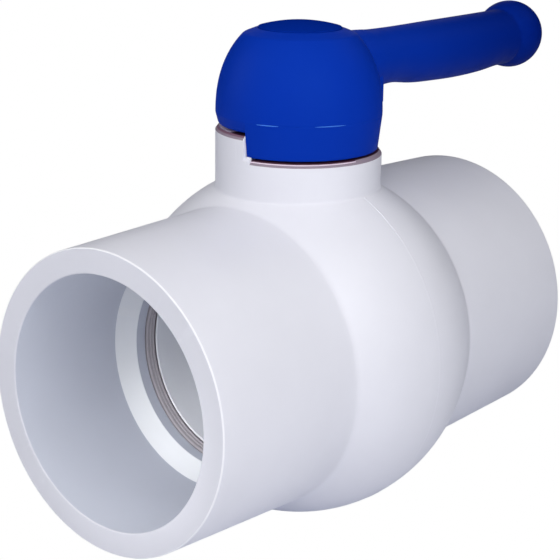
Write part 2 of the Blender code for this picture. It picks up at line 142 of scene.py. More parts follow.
BALL_PORT_RADIUS = 24.8
BALL_LIP = 0.3
SLOT_HALF_WIDTH = 4.0
SLOT_FLOOR = 29.7
SEAT_FRONT_RADIUS = 25.5
SEAT_BACK_RADIUS = 26.1
SEAT_BORE_STEPS = 3
SEAT_GROOVE = 0.22
SEAT_EDGE = 0.22
SEAT_CLEARANCE = 0.12
SEAT_NOTCH = 2.6
SEAT_WIRE = 1.0
STEM_WIRE = 1.2
STEM_RADIUS = 9.0
STEM_FLANGE_RADIUS = 11.9
STEM_FLANGE_BOTTOM = 37.0
STEM_FLANGE_TOP = 39.4
STEM_SHOULDER = 54.0
DRIVE_HALF_WIDTH = 5.7
TANG_HALF_WIDTH = 3.7
TANG_HALF_LENGTH = 10.0
STEM_GROOVE_RADIUS = 6.3
STEM_GROOVE_WIDTH = 3.0
STEM_GROOVE_HEIGHTS = (49.1, 44.3)
STEM_HOLE_RADIUS = 2.7
STEM_HOLE_FLOOR = 50.0

# ---- Handle ----

DOME_BASE = 57.8
DOME_EDGE_TOP = 58.9
DOME_TOP_RADIUS = 13.8
CROWN_CURVE = 31.6
CAP_CURVE = 36.5
DOME_HEIGHT = 25.2
DOME_POWER = 2.25
SKIRT_BOTTOM = 55.1
SKIRT_RADIUS = 19.75
TAB_TOP_RADIUS = 20.5
TAB_RIDGE_RADIUS = 0.12
TAB_RIDGES = ((190.0, 206.0), (230.0, 252.0))
TAB_EDGE_ROW = 0.4  # a row of points this far in keeps the wear and painted highlight to the tab's edges
TAB_DROP = 0.05
TAB_BOTTOM_RADIUS = 19.5
TAB_INNER_RADIUS = 16.8
HUB_CAVITY_RADIUS = 16.6
HUB_CAVITY_TOP_RADIUS = 13.5
HUB_CAVITY_TOP = 69.0
BOSS_RADIUS = 10.3
BOSS_TIP_RADIUS = 9.8
BOSS_BOTTOM = 54.8
SOCKET_HALF_WIDTH = 6.0
WEB_BOTTOM = 66.0
WEB_TOP = 70.0
RIB_HALF_WIDTH = 1.0
RIB_END = 17.2
RIB_TOP = 69.4
HEAD_RECESS_RADIUS = 7.8
CAP_RECESS_RADIUS = 10.3
CAP_RECESS_FLOOR = 76.6
CAP_EDGE_RADIUS = 10.2
SCREW_HOLE_RADIUS = 3.0
LEVER_FLARE = 0.7
LEVER_FLARE_LENGTH = 1.6
LEVER_ROOT_DEPTH = 7.5
# x, radius and height of the middle along the lever
LEVER_STATIONS = (
    (10.0, 8.00, 67.75),
    (20.0, 7.95, 67.75),
    (24.0, 7.78, 67.76),
    (28.0, 7.42, 67.82),
    (36.0, 7.18, 67.88),
    (45.0, 7.70, 67.32),
    (54.0, 7.96, 67.08),
    (64.0, 8.10, 66.92),
    (75.0, 8.00, 67.02),
    (84.0, 7.68, 67.37),
    (95.0, 7.60, 67.50),
)
KNOB_RADIUS = 9.35
KNOB_HEIGHT = 67.75
KNOB_BLEND = 2.4
KNOB_BLEND_ROWS = 12
TIP_SHADE_START = 25.0
KNOB_NECK_X = 85.5
GUSSET_FRONT = 26.8
GUSSET_ROOT = 3.5  # how far it is buried in the hub
GUSSET_HALF_WIDTH = 7.0
GUSSET_ROUNDING = 2.5
GUSSET_BOTTOM = 57.6
GUSSET_TOP = 66.3
STOP_CLEARANCE = 0.12

# ---- Fixings ----

SCREW_HEAD_RADIUS = 5.0
SCREW_HEAD_HEIGHT = 3.0
SCREW_HEAD_EDGE = 1.0
SCREW_SHANK_RADIUS = 2.4
THREAD_PITCH = 1.4
THREAD_DEPTH = 0.45
THREAD_START = 2.0  # plain length under the head
THREAD_END = 2.5  # plain length at the tip
THREAD_SHARPNESS = 2.6
THREAD_ROWS = 12  # rows of points in one turn of the thread
THREAD_FADE_ROWS = 8
DRIVER_HALF_WIDTH = 0.6
WASHER_RADIUS = 6.6

BODY_STEPS = 288
NECK_STEPS = 240
SMALL_STEPS = 128
SCREW_STEPS = 64
WELD_BEAD_STEPS = 48
TAB_RIDGE_STEPS = 32
BEAD_SIDES = 8
BEAD_TAPER = 0.03
SHARP_ANGLE = math.radians(35)
SINK = 0.02  # how far a fillet's edge is sunk into the surface that it runs onto

# ---- Colours and surfaces ----

BROAD_NOISE = 55.0
MIDDLE_NOISE = 420.0
FINE_NOISE = 2600.0
WEAR_AND_HIGHLIGHT_NOISE = 170.0
MOTTLE = 0.015  # share by which the colour varies
GLOSS_SPREAD = 0.04
GLOSS_DRIFT = 0.03
GRAIN_DEPTH = 0.02
RIPPLE_DEPTH = 0.1
WEAR_AND_HIGHLIGHT = 0.35  # most that a rubbed edge takes of the lighter worn colour, which is partly a painted highlight
WEAR_AND_HIGHLIGHT_EDGE = (0.52, 0.60)  # pointiness where the wear and painted highlight start and are full
WEAR_AND_HIGHLIGHT_LEAST = 0.15
WEAR_AND_HIGHLIGHT_PATCH = (0.42, 0.58)
WORN_AND_HIGHLIT_SHADE = 1.1
PVC = dict(roughness=0.46, grain=0.10)
# for the neck's painted light and shade
PAINTED_LIGHT_AND_SHADE_PVC = dict(roughness=0.50, grain=0.10)
# the lighter worn colour on the blue's edges is partly a painted highlight
BLUE_SHINE = dict(gloss_tint=(0.3, 1.0, 1.0), worn_and_highlit=(0.01, 0.10, 0.50))
BLUE = dict(BLUE_SHINE, roughness=0.45, grain=0.12)
# painted shade: the blue darkens to this towards the lever's end, where less light falls
BLUE_TIP_SHADE = (0.0005, 0.012, 0.19)
LOOKS = {
    "white_pvc": dict(PVC, colour=(0.79, 0.79, 0.85)),
    # painted shade: the white PVC darker and bluer inside the socket and port
    "socket_pvc_painted_shade": dict(PVC, colour=(0.655, 0.68, 0.76)),
    # painted light: the white PVC brighter on the shoulder inside the bore
    "shoulder_pvc_painted_light": dict(PVC, colour=(0.95, 0.965, 0.98)),
    # painted highlight: the brighter line on the pipe ends' rounded outer edge
    "end_pvc_painted_highlight": dict(colour=(0.92, 0.92, 0.96), roughness=0.40, grain=0.10, specular=0.5),
    # painted light on the neck's top: shade on the chamfers, a highlight line on the rim, shadow
    # in the gap under the tab, all tinted pink as a painted reflection
    "neck_edge_painted_shade": dict(PAINTED_LIGHT_AND_SHADE_PVC, colour=(0.29, 0.23, 0.28)),
    "neck_rim_painted_highlight": dict(PAINTED_LIGHT_AND_SHADE_PVC, colour=(0.80, 0.66, 0.76)),
    "neck_gap_painted_shadow": dict(colour=(0.05, 0.008, 0.03), roughness=0.60, grain=0.10),
    "stop_edge_painted_shade": dict(PAINTED_LIGHT_AND_SHADE_PVC, colour=(0.19, 0.09, 0.14)),
    "ball_pvc": dict(colour=(0.95, 0.96, 0.99), roughness=0.34, grain=0.06),
    "seat": dict(colour=(0.48, 0.445, 0.47), roughness=0.45, grain=0.12),
    # painted shade in the groove between the seat and the ball
    "seat_edge_painted_shade": dict(colour=(0.28, 0.23, 0.27), roughness=0.50, grain=0.12),
    "rubber": dict(colour=(0.02, 0.02, 0.022), roughness=0.65, grain=0.25),
    "blue_plastic": dict(BLUE, colour=(0.0025, 0.032, 0.385), specular=0.03, tip=BLUE_TIP_SHADE),
    # painted highlight: lighter blue on the bead along the tab's top edge
    "blue_ridge_painted_highlight": dict(BLUE, colour=(0.06, 0.22, 0.75), specular=0.2),
    # painted shade: the cap's upward face darker than the hub's blue
    "blue_cap_painted_shade": dict(BLUE, colour=(0.001, 0.022, 0.28), specular=0.0),
    "steel": dict(colour=(0.60, 0.60, 0.58), roughness=0.28, grain=0.10, metallic=1.0),
}
NECK_PAINTED_LIGHT = ("neck_edge_painted_shade", "neck_rim_painted_highlight", "neck_gap_painted_shadow", "stop_edge_painted_shade")
SHADE, RIM_HIGHLIGHT, GAP_SHADOW, PINK_SHADE = range(4)  # places in NECK_PAINTED_LIGHT
COLOUR_MARGIN = 0.1  # how far a coloured stretch reaches past its edge
FACE_SLACK = 0.03  # how far the middle of a small face lies from the edge beside it
FLAT_NORMAL = 0.995  # a normal this close to the axis belongs to a flat face

# ---- Camera and light ----

CAMERA_AZIMUTH = -50.1
CAMERA_ELEVATION = 16.04
CAMERA_DISTANCE = 426.2
CAMERA_TARGET = (-2.5, 3.4, 14.7)
CAMERA_LENS = 108.55
CAMERA_SENSOR = 36.0
CAMERA_ROLL = 0.6
ROOM_LIGHT = 0.018
FLOOR_GLOW = 0.077
FLOOR_REACH = 4000.0
FLOOR_COLOUR = (0.8, 0.8, 0.8)
SHADE_COLOUR = (0.22, 0.38, 1.0)  # the cool light that fills the shadows
LIGHT_DISTANCE = 400
# name, azimuth from the camera, elevation, width, height, power in watts
SOFTBOXES = (
    ("front_left", -26, 26, 330, 240, 0.12),
    ("front_right", 20, 26, 330, 240, 0.77),
    ("upper_left", -28, 50, 330, 240, 0.24),
    ("high_left", -60, 50, 240, 240, 0.14),
    ("upper_right", 25, 50, 300, 240, 0.20),
    ("low_right", 50, 3, 240, 240, 0.10),
    ("side_left", -90, 26, 240, 240, 0.38),
    ("top", 0, 86, 240, 240, 0.13),
    ("far_right", 105, 50, 240, 240, 0.11),
    ("back", 180, 26, 240, 240, 0.05),
)
BORE_POWER = 5.1
BORE_BEAM = 6.8  # width of the beam in degrees
BORE_AZIMUTH = -22  # from the camera
BORE_ELEVATION = 15
BORE_LAMP_RADIUS = 15
BORE_TARGET = (-33.0, 5.0, -16.0)


# ---- Mesh tools ----


def spaced(start, stop, steps):
    """Evenly spaced values from start to stop, both included."""
    return [start + (stop - start) * i / steps for i in range(steps + 1)]


def rounded(corners, step=12.0):
    """Points of a closed outline from (radius, height, fillet) corners, each fillet as an arc."""
    points = []
    for i, (radius, height, fillet) in enumerate(corners):
        corner = Vector((radius, height))
        if not fillet:
            points.append((radius, height))
            continue
        before = (Vector(corners[i - 1][:2]) - corner).normalized()
        after = (Vector(corners[(i + 1) % len(corners)][:2]) - corner).normalized()
        half = before.angle(after) / 2
        centre = corner + (before + after).normalized() * fillet / math.sin(half)
        start = corner + before * fillet / math.tan(half) - centre
        end = corner + after * fillet / math.tan(half) - centre
        sweep = math.pi - 2 * half
        turn = sweep if start.x * end.y - start.y * end.x > 0 else -sweep
        count = max(2, math.ceil(math.degrees(sweep) / step))
        for part in spaced(0.0, turn, count):
            point = centre + Matrix.Rotation(part, 2) @ start
            points.append((point.x, point.y))
    return points


def link(name, data):
    """A new object in the scene, with this mesh, lamp or camera."""
    obj = bpy.data.objects.new(name, data)
    bpy.context.scene.collection.objects.link(obj)
    return obj


def mesh_object(name, vertices, faces):
    mesh = bpy.data.meshes.new(name)
    mesh.from_pydata([Vector(v) * MM for v in vertices], [], faces)
    shape = bmesh.new()
    shape.from_mesh(mesh)
    bmesh.ops.remove_doubles(shape, verts=shape.verts, dist=1e-7)
    bmesh.ops.recalc_face_normals(shape, faces=shape.faces)
    if shape.calc_volume(signed=True) < 0:
        bmesh.ops.reverse_faces(shape, faces=shape.faces)
    shape.to_mesh(mesh)
    shape.free()
    return link(name, mesh)


def grid_faces(rings, points, open_ring=False, open_outline=False):
    faces = []
    for i in range(rings - 1 if open_ring else rings):
        for k in range(points - 1 if open_outline else points):
            here = i * points
            there = (i + 1) % rings * points
            after = (k + 1) % points
            faces.append((here + k, here + after, there + after, there + k))
    return faces


def on_axis(axis, radius, height, angle):
    """A point of a shape turned about X or Z."""
    if axis == "X":
        return (height, radius * math.sin(angle), radius * math.cos(angle))
    return (radius * math.cos(angle), radius * math.sin(angle), height)


def turned(name, outline, steps, axis="Z", solid=False):
    """A turned shape. A solid outline starts and ends on the axis; another closes on itself."""
    vertices = []
    for i in range(steps):
        angle = 2 * math.pi * i / steps
        vertices += [on_axis(axis, radius, height, angle) for radius, height in outline]
    return mesh_object(name, vertices, grid_faces(steps, len(outline), open_outline=solid))


def bevel(shape, edges, width, segments=3):
    bmesh.ops.bevel(
        shape, geom=edges, offset=width, segments=segments, profile=0.5, affect="EDGES"
    )


def block(name, low, high, edge=0.0, upright=0.0):
    """A block. upright rounds its four vertical edges, then edge rounds all the others."""
    shape = bmesh.new()
    bmesh.ops.create_cube(shape, size=1.0)
    for vertex in shape.verts:
        vertex.co = [(a + b) / 2 + (b - a) * c for a, b, c in zip(low, high, vertex.co)]
    if upright:
        posts = [e for e in shape.edges if e.verts[0].co.xy == e.verts[1].co.xy]
        bevel(shape, posts, upright, segments=12)
    if edge:
        bevel(shape, [e for e in shape.edges if e.calc_face_angle(0.0) > math.radians(60)], edge)
    vertices = [tuple(v.co) for v in shape.verts]
    faces = [[v.index for v in face.verts] for face in shape.faces]
    shape.free()
    return mesh_object(name, vertices, faces)


def sector(name, outline, start, stop, edge, steps=96):
    """An outline swept about Z from one angle to another, in degrees, with its edges rounded."""
    vertices = []
    for i in range(steps + 1):
        angle = math.radians(start + (stop - start) * i / steps)
        vertices += [on_axis("Z", radius, height, angle) for radius, height in outline]
    count = len(outline)
    faces = grid_faces(steps + 1, count, open_ring=True)
    faces.append(tuple(range(count)))
    faces.append(tuple(range(steps * count, (steps + 1) * count)))
    obj = mesh_object(name, vertices, faces)
    shape = bmesh.new()
    shape.from_mesh(obj.data)
    edges = [e for e in shape.edges if e.calc_face_angle(0.0) > math.radians(30)]
    bevel(shape, edges, edge * MM)
    shape.to_mesh(obj.data)
    shape.free()
    return obj


def bead(name, axis, radius, height, wire, start, stop, steps):
    """A fine bead round an axis, from one angle to another in degrees, thinner at both ends."""
    vertices = []
    for i in range(steps + 1):
        share = i / steps
        angle = math.radians(start + (stop - start) * share)
        along = BEAD_TAPER + (1 - 2 * BEAD_TAPER) * share
        thickness = wire * math.sqrt(math.sin(math.pi * along))
        for k in range(BEAD_SIDES):
            turn = 2 * math.pi * k / BEAD_SIDES
            out = radius + thickness * math.cos(turn)
            vertices.append(on_axis(axis, out, height + thickness * math.sin(turn), angle))
    faces = grid_faces(steps + 1, BEAD_SIDES, open_ring=True)
    last = steps * BEAD_SIDES
    faces += [tuple(range(BEAD_SIDES)), tuple(range(last, last + BEAD_SIDES))]
    return mesh_object(name, vertices, faces)


def combine(obj, other, operation):
    """Joins, cuts or trims obj with another closed mesh, which is then removed."""
    boolean = obj.modifiers.new("boolean", "BOOLEAN")
    boolean.operation = operation
    boolean.solver = "MANIFOLD"
    boolean.object = other
    result = bpy.data.meshes.new_from_object(
        obj.evaluated_get(bpy.context.evaluated_depsgraph_get())
    )
    obj.modifiers.remove(boolean)
    obj.data = result
    bpy.data.objects.remove(other)
    return obj


def finish_piece(obj, body, looks, look, node):
    """Smooths a piece, gives it its material, and lets it stand for its CAD node."""
    mesh = obj.data
    mesh.materials.clear()
    mesh.materials.append(looks[look])
    mesh.shade_smooth()
    mesh.set_sharp_from_angle(angle=SHARP_ANGLE)
    weighted = obj.modifiers.new("even shading", "WEIGHTED_NORMAL")
    weighted.keep_sharp = True
    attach(obj, body)
    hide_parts(node)


def tint(obj, materials, pick):
    """Gives faces other materials. pick(middle, normal) is a place among them, or None."""
    first = len(obj.data.materials)
    for material in materials:
        obj.data.materials.append(material)
    for face in obj.data.polygons:
        place = pick(face.center / MM, face.normal)
        if place is not None:
            face.material_index = first + place


# ---- Body ----


def bulge_radius(x):
    """Outer radius of the ball chamber, low by the weld flash, which is the widest line."""
    return (BULGE_RADIUS - WELD_FLASH) * math.sqrt(1 - (x / BULGE_HALF_WIDTH) ** 2)


def flank_radius(x):
    """Outer radius of a body half: socket, then bulge, with the crease between them blended."""
    slope = (bulge_radius(CREASE_X) - SOCKET_END_RADIUS) / (HALF_LENGTH - CREASE_X)
    socket = SOCKET_END_RADIUS + slope * (HALF_LENGTH - x)
    if x > CREASE_X + 2 * CREASE_BLEND:
        return socket
    bulge = bulge_radius(x)
    share = min(1.0, max(0.0, 0.5 + 0.5 * (bulge - socket) / CREASE_BLEND))
    return socket + (bulge - socket) * share + CREASE_BLEND * share * (1 - share)


def half_outline(joint):
    """Closed outline of the +X half. joint is its corners at the weld, from the outer one in."""
    socket_end = HALF_LENGTH - 2 * END_EDGE
    socket = spaced(socket_end, CREASE_ROWS_START + 0.5, 20)
    crease = spaced(CREASE_ROWS_START, CREASE_ROWS_STOP, 16)
    bulge = spaced(CREASE_ROWS_STOP - 0.5, 0.75, 23)
    flank = [(flank_radius(x), x, 0) for x in socket + crease + bulge]
    flash = [
        (bulge_radius(WELD_FLASH_WIDTH), WELD_FLASH_WIDTH, 0),
        (BULGE_RADIUS - WELD_FLASH / 3, WELD_FLASH_WIDTH / 3, 0),
        (BULGE_RADIUS, 0.0, 0),
    ]
    start = math.asin(joint[-1][1] / CHAMBER_RADIUS)
    stop = math.acos(POCKET_RADIUS / CHAMBER_RADIUS)
    turns = spaced(start, stop, 40)
    chamber = [(CHAMBER_RADIUS * math.cos(a), CHAMBER_RADIUS * math.sin(a), 0) for a in turns]
    return rounded(
        [
            (SOCKET_END_RADIUS, HALF_LENGTH, END_EDGE),
            *flank,
            *flash,
            *joint,
            *chamber,
            (POCKET_RADIUS, POCKET_X, 0.2),
            (PORT_RADIUS, POCKET_X, 0.15),
            (PORT_RADIUS, SHOULDER_X, 0.25),
            (SOCKET_FLOOR_RADIUS, SOCKET_FLOOR_X, 0.35),
            (SOCKET_MOUTH_RADIUS, HALF_LENGTH, END_EDGE),
        ]
    )


def mirrored(outline):
    return [(radius, -height) for radius, height in outline]


def neck_side(angle):
    """Outer side of the neck at one angle round the stem, down through its fillet."""

    def bulge_height(radius):
        x = radius * math.cos(angle)
        y = radius * math.sin(angle)
        return math.sqrt(flank_radius(abs(x)) ** 2 - y * y)

    middle = NECK_RADIUS + NECK_FILLET
    lean = 0.0
    for _ in range(5):
        foot = middle - NECK_FILLET * math.sin(lean)
        lean = math.atan((bulge_height(foot - 0.05) - bulge_height(foot + 0.05)) / 0.1)
    height = bulge_height(foot) + NECK_FILLET * math.cos(lean) - SINK
    fillet = [
        (middle + NECK_FILLET * math.cos(turn), height + NECK_FILLET * math.sin(turn))
        for turn in spaced(math.pi, math.pi * 3 / 2 - lean, 8)
    ]
    side = [(NECK_RADIUS, LEDGE - 2 * NECK_CHAMFER), (NECK_RADIUS, (LEDGE + height) / 2 - 1)]
    return side + fillet + [(fillet[-1][0], fillet[-1][1] - NECK_FOOT)]


def neck_loft(name, top, floor):
    """The neck as a solid round the stem, under the given top corners and over a floor."""
    vertices = []
    for i in range(NECK_STEPS):
        angle = 2 * math.pi * i / NECK_STEPS
        side = neck_side(angle)
        corners = rounded([*top, (*side[0], 0)])
        outline = corners + side[1:] + floor(angle, side[-1])
        vertices += [on_axis("Z", radius, height, angle) for radius, height in outline]
    return mesh_object(name, vertices, grid_faces(NECK_STEPS, len(outline), open_outline=True))


def wall_floor(angle, foot):
    """Underside of the neck: buried in the near half's wall, level with the chamber beyond it."""
    sunk = SINK if math.cos(angle) > 0 else NECK_OVERLAP
    floor = []
    for share in (1.0, 0.9, 0.8, 0.7, 0.6, 0.5, 0.3, 0.0):
        radius = foot[0] * share
        y = radius * math.sin(angle)
        chamber = math.sqrt((CHAMBER_RADIUS + sunk) ** 2 - radius**2)
        pocket = math.sqrt((POCKET_RADIUS + sunk) ** 2 - y * y)
        floor.append((radius, max(chamber, pocket)))
    return floor


def straight_floor(_angle, foot):
    return [(foot[0], CHAMBER_RADIUS / 2), (0.0, CHAMBER_RADIUS / 2)]


def on_chamfer(inset, top):
    """The point of the neck's chamfer that is this far in from the neck's side."""
    return (NECK_RADIUS - inset, top - NECK_CHAMFER_DEPTH * (1 - inset / NECK_CHAMFER))


def make_neck():
    """The neck with its low ledge, its moat and the raised stop in one quarter."""
    neck = neck_loft(
        "neck",
        [
            (0.0, NECK_TOP, 0),
            (MOAT_INNER_RADIUS, NECK_TOP, 0.3),
            (MOAT_INNER_RADIUS, MOAT_FLOOR, 0.4),
            (MOAT_OUTER_RADIUS, MOAT_FLOOR, 0.4),
            (MOAT_OUTER_RADIUS, LEDGE, 0.25),
            (NECK_RADIUS - SHADOW_INSET, LEDGE, 0),
            (NECK_RADIUS - NECK_CHAMFER, LEDGE, 0.05),
            (*on_chamfer(RIM_INSET, LEDGE), 0),
            (*on_chamfer(RIM_END_INSET, LEDGE), 0),
            (NECK_RADIUS, LEDGE - NECK_CHAMFER_DEPTH, 0.3),
        ],
        wall_floor,
    )
    combine(neck, raised_stop(), "UNION")
    return combine(neck, stop_foot(), "UNION")


def raised_stop():
    """The quarter turn of the neck that stands up and stops the handle's tab."""
    outer = NECK_RADIUS - SINK / 4
    inner = MOAT_INNER_RADIUS - 0.5
    top = NECK_TOP - SINK / 2
    pink_radius, pink_height = on_chamfer(STOP_PINK_INSET, top)
    outline = [
        (inner, top),
        (MOAT_OUTER_RADIUS, top),
        (NECK_RADIUS - STOP_PALE_INSET, top),
        (outer - NECK_CHAMFER, top),
        (pink_radius - SINK / 4, pink_height),
        (outer, top - NECK_CHAMFER_DEPTH),
        (outer, MOAT_FLOOR - 1),
        (inner, MOAT_FLOOR - 1),
    ]
    return sector("stop", outline, STOP_START, STOP_END, 0.06)


def stop_foot():
    """The low step at the stop's end, which lies outside the handle's tab."""
    outer = NECK_RADIUS - SINK / 4
    outline = [
        (STOP_FOOT_RADIUS, STOP_FOOT_TOP),
        (outer, STOP_FOOT_TOP - NECK_CHAMFER_DEPTH),
        (outer, MOAT_FLOOR),
        (STOP_FOOT_RADIUS, MOAT_FLOOR),
    ]
    return sector("stop_foot", outline, STOP_FOOT_START, STOP_FOOT_END, 0.1, steps=12)


def neck_painted_light_place(middle, normal):
    """Place in NECK_PAINTED_LIGHT of a face on the neck's top, for its painted light and shade,
    or None where the neck is plain.
    """
    radius = math.hypot(middle.x, middle.y)
    inset = NECK_RADIUS - radius
    angle = math.degrees(math.atan2(middle.y, middle.x)) % 360
    on_stop = middle.z > STOP_FOOT_TOP
    low = (NECK_TOP if on_stop else LEDGE) - NECK_CHAMFER_DEPTH - COLOUR_MARGIN
    if not MOAT_OUTER_RADIUS < radius < NECK_RADIUS - SINK or middle.z < low or normal.z < 0.3:
        return None
    if STOP_FOOT_START < angle < STOP_FOOT_END:
        return None
    if on_stop:
        if inset > NECK_CHAMFER and angle > STOP_SHADOW_START:
            return GAP_SHADOW
        if inset > STOP_PALE_INSET:
            return RIM_HIGHLIGHT
        return PINK_SHADE if NECK_CHAMFER > inset > STOP_PINK_INSET else SHADE
    if inset > SHADOW_INSET and angle < STOP_END:
        return None
    if angle > RIM_END_ANGLE:
        return GAP_SHADOW if inset > NECK_CHAMFER - FACE_SLACK else SHADE
    if inset > RIM_INSET:
        return GAP_SHADOW
    return RIM_HIGHLIGHT if inset > RIM_END_INSET else SHADE


def end_highlight_colour(middle, normal):
    """The rounded outer edge of a pipe end, painted brighter as a highlight line."""
    on_edge = math.hypot(middle.y, middle.z) > SOCKET_END_RADIUS - END_EDGE
    on_edge = on_edge and abs(middle.x) > HALF_LENGTH - END_EDGE
    return 0 if on_edge and abs(normal.x) < FLAT_NORMAL else None


def bore_painted_light(middle, normal):
    """Place of the painted shade on the pipe socket and port, or of the painted light on the
    shoulder between them.
    """
    depth = abs(middle.x)
    if math.hypot(middle.y, middle.z) > SOCKET_MOUTH_RADIUS + SINK:
        return None
    if SHOULDER_X - COLOUR_MARGIN < depth < SOCKET_FLOOR_X:
        return 1
    return 0 if POCKET_X < depth < HALF_LENGTH - END_EDGE else None


def weld_bead():
    """The stretch of weld flash that stands proud on the -Y side, below the neck."""
    radius = BULGE_RADIUS - WELD_FLASH
    span = (WELD_BEAD_START, WELD_BEAD_STOP)
    return bead("weld_bead", "X", radius, -WELD_BEAD, WELD_BEAD, *span, WELD_BEAD_STEPS)


def stem_bore():
    """The stem's stepped bore, from the top of the neck down into the chamber."""
    lead_in = 0.6
    outline = [
        (0.0, NECK_TOP + 2),
        (STEM_BORE_RADIUS + lead_in, NECK_TOP + 2),
        (STEM_BORE_RADIUS + lead_in, NECK_TOP),
        (STEM_BORE_RADIUS, NECK_TOP - lead_in),
        (STEM_BORE_RADIUS, FLANGE_BORE_TOP),
        (FLANGE_BORE_RADIUS, FLANGE_BORE_TOP),
        (FLANGE_BORE_RADIUS, CHAMBER_RADIUS / 2),
        (0.0, CHAMBER_RADIUS / 2),
    ]
    return turned("stem_bore", outline, SMALL_STEPS, solid=True)


def finish_half(half, looks, node):
    finish_piece(half, "valve_body", looks, "white_pvc", node)
    # painted shade on the socket and port walls, painted light on the shoulder
    tint(half, [looks["socket_pvc_painted_shade"], looks["shoulder_pvc_painted_light"]], bore_painted_light)
    tint(half, [looks["end_pvc_painted_highlight"]], end_highlight_colour)


def make_near_half(looks):
    """The near half of the body, with the neck and the tongue of the weld."""
    tongue = [
        (TONGUE_RADIUS, 0.0, 0),
        (TONGUE_RADIUS, -TONGUE_LENGTH, 0.3),
        (math.sqrt(CHAMBER_RADIUS**2 - TONGUE_LENGTH**2), -TONGUE_LENGTH, 0),
    ]
    near = turned("body_near", mirrored(half_outline(tongue)), BODY_STEPS, axis="X")
    combine(near, weld_bead(), "UNION")
    combine(near, make_neck(), "UNION")
    combine(near, stem_bore(), "DIFFERENCE")
    finish_half(near, looks, "body_main")
    # painted light and shade on the neck's top
    tint(near, [looks[name] for name in NECK_PAINTED_LIGHT], neck_painted_light_place)


def make_far_half(looks):
    """The far half of the body, with the rebate of the weld, cut away round the neck."""
    rebate = [
        (TONGUE_RADIUS + WELD_GAP, 0.0, 0),
        (TONGUE_RADIUS + WELD_GAP, TONGUE_LENGTH + WELD_GAP, 0.3),
        (CHAMBER_RADIUS * math.cos(TONGUE_LENGTH / CHAMBER_RADIUS), TONGUE_LENGTH + WELD_GAP, 0),
    ]
    far = turned("body_far", half_outline(rebate), BODY_STEPS, axis="X")
    top = [(0.0, NECK_TOP, 0), (NECK_RADIUS, NECK_TOP, 0)]
    combine(far, neck_loft("neck_plug", top, straight_floor), "DIFFERENCE")
    finish_half(far, looks, "end_connector")


# ---- Ball, seats and rings ----


def make_ball(looks):
    port_x = math.sqrt(BALL_RADIUS**2 - BALL_PORT_RADIUS**2)
    edge = math.acos(BALL_PORT_RADIUS / BALL_RADIUS) - math.radians(4)
    turns = spaced(edge, -edge, 80)
    sphere = [(BALL_RADIUS * math.cos(a), BALL_RADIUS * math.sin(a), 0) for a in turns]
    corners = [(BALL_PORT_RADIUS, -port_x, BALL_LIP), (BALL_PORT_RADIUS, port_x, BALL_LIP)]
    ball = turned("ball_shell", rounded([*corners, *sphere], step=6.0), BODY_STEPS, axis="X")
    slot = block(
        "slot",
        (-SLOT_HALF_WIDTH, -BALL_RADIUS, SLOT_FLOOR),
        (SLOT_HALF_WIDTH, BALL_RADIUS, BALL_RADIUS + 2),
    )
    combine(ball, slot, "DIFFERENCE")
    finish_piece(ball, "ball", looks, "ball_pvc", "ball")


def seat_front():
    """How far along the pipe the seat's bore would meet its spherical face."""
    return math.sqrt((BALL_RADIUS + SEAT_CLEARANCE) ** 2 - SEAT_FRONT_RADIUS**2)


def seat_outline():
    """The +X seat: a bore in fine steps, a spherical face on the ball, a notch behind."""
    face_radius = BALL_RADIUS + SEAT_CLEARANCE
    front = seat_front()
    start = math.acos(SEAT_RADIUS / face_radius)
    stop = math.acos((SEAT_FRONT_RADIUS + SEAT_EDGE) / face_radius)
    face = spaced(start, stop, 16)
    length = SEAT_BACK - front
    bore = []
    for i in range(SEAT_BORE_STEPS):
        radius = SEAT_FRONT_RADIUS + (SEAT_BACK_RADIUS - SEAT_FRONT_RADIUS) * i / SEAT_BORE_STEPS
        end = front + length * (i + 1) / SEAT_BORE_STEPS - SEAT_GROOVE
        bore += [(radius, end, 0.08), (radius + SEAT_GROOVE, end, 0)]
        bore += [(radius + SEAT_GROOVE, end + SEAT_GROOVE, 0)]
    return rounded(
        [
            (SEAT_RADIUS - SEAT_NOTCH, SEAT_BACK, 0.15),
            (SEAT_RADIUS - SEAT_NOTCH, SEAT_BACK - SEAT_NOTCH, 0.1),
            (SEAT_RADIUS, SEAT_BACK - SEAT_NOTCH, 0),
            *[(face_radius * math.cos(a), face_radius * math.sin(a), 0) for a in face],
            (SEAT_FRONT_RADIUS, front + SEAT_EDGE, 0),
            *bore[:-2],
            (SEAT_BACK_RADIUS, SEAT_BACK, 0.1),
        ]
    )


def ring(name, radius, height, wire, axis):
    """A ring of round wire."""
    outline = [
        (radius + wire * math.cos(turn), height + wire * math.sin(turn))
        for turn in spaced(0.0, 2 * math.pi, 24)[:-1]
    ]
    return turned(name, outline, SMALL_STEPS, axis=axis)


def seat_shade_colour(middle, normal):
    """The bevelled corner between the seat's bore and the ball, painted darker as shade in the
    groove there.
    """
    on_corner = math.hypot(middle.y, middle.z) < SEAT_FRONT_RADIUS + SEAT_EDGE
    on_corner = on_corner and abs(middle.x) < seat_front() + SEAT_EDGE
    off_ball = middle.length > BALL_RADIUS + SEAT_CLEARANCE + FACE_SLACK
    return 0 if on_corner and off_ball else None


def make_seats(looks):
    for side, sign in (("near", -1), ("far", 1)):
        outline = seat_outline() if sign > 0 else mirrored(seat_outline())
        seat = turned(f"seat_ring_{side}", outline, BODY_STEPS, axis="X")
        finish_piece(seat, "valve_body", looks, "seat", f"seat_{side}")
        tint(seat, [looks["seat_edge_painted_shade"]], seat_shade_colour)
        height = sign * (SEAT_BACK - SEAT_NOTCH / 2)
        middle = SEAT_RADIUS - SEAT_NOTCH / 2
        oring = ring(f"seat_rubber_{side}", middle, height, SEAT_WIRE, "X")
        finish_piece(oring, "valve_body", looks, "rubber", f"seat_oring_{side}")


